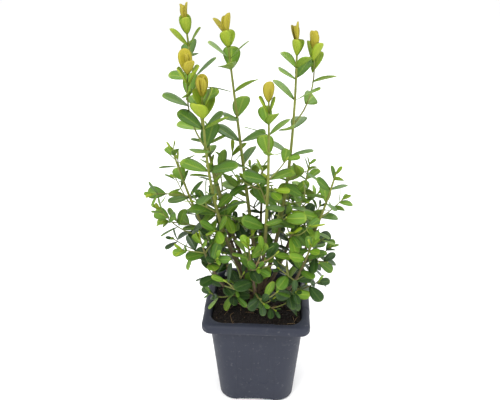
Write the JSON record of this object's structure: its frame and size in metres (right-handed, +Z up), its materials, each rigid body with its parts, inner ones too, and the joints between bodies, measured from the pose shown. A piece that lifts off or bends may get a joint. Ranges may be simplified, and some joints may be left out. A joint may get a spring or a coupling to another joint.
{
  "type": "potted common boxwood",
  "caption": "Young evergreen boxwood shrub with small glossy opposite leaves on upright shoots, in a square tapered nursery pot with a rolled rim, filled with peat.",
  "frame": {"origin": "middle of the pot's flat underside", "axes": "+Z up along the pot's axis, -Y towards the front"},
  "size_m": [0.167, 0.1281, 0.3334],
  "materials": {
    "pot": "satin dark grey plastic",
    "soil": "moist crumbly peat",
    "bark": "thin olive-brown bark",
    "young_leaves": "satin young leaves",
    "old_leaves": "glossy old leaves"
  },
  "bodies": {
    "root": {"pot": "pot", "soil": "soil", "stem_foot": "bark", "bough_front_left": "bark", "mass_front_left": "young_leaves", "bough_back_left": "bark", "mass_back_left": "young_leaves", "bough_back_middle": "bark", "mass_back_middle": "young_leaves", "bough_centre": "bark", "mass_centre": "young_leaves", "bough_right": "bark", "mass_right": "young_leaves", "bough_low_left": "bark", "mass_low_left": "old_leaves", "bough_low_right": "bark", "mass_low_right": "old_leaves", "bough_low_front_left": "bark", "mass_low_front_left": "old_leaves", "bough_low_front_right": "bark", "mass_low_front_right": "old_leaves", "bough_low_back_left": "bark", "mass_low_back_left": "old_leaves", "bough_low_back_right": "bark", "mass_low_back_right": "old_leaves", "bough_low_back": "bark", "mass_low_back": "old_leaves", "bough_low_front": "bark", "mass_low_front": "old_leaves"}
  },
  "joints": []
}
